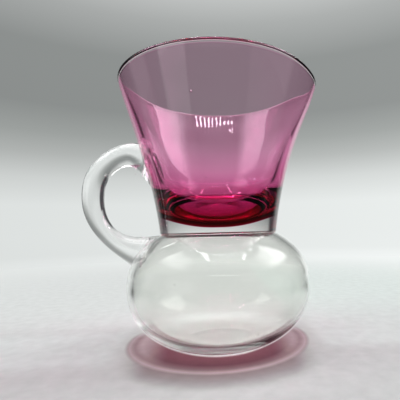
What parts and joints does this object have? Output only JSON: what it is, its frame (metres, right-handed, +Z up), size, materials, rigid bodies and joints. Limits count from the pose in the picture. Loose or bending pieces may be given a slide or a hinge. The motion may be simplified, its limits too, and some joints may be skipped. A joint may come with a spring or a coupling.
{
  "type": "pitcher shot glass",
  "caption": "Small hand-blown pitcher glass: flared cranberry-lined cup with a clear thick base, slight pouring lip and loop handle, on a hollow squashed bulb foot.",
  "frame": {"origin": "centre of the flat-ground foot, on the axis of the bulb and cup", "axes": "+Z up along the cup's axis, handle towards -X, pouring lip towards +X, front of the picture at -Y"},
  "size_m": [0.0742, 0.0604, 0.08],
  "materials": {
    "clear_glass": "fire-polished, with a ground foot",
    "cranberry_glass": "fire-polished"
  },
  "bodies": {
    "root": {"clear_cup": "clear_glass", "cranberry_lining": "cranberry_glass", "bulb_foot": "clear_glass", "loop_handle": "clear_glass"}
  },
  "joints": []
}
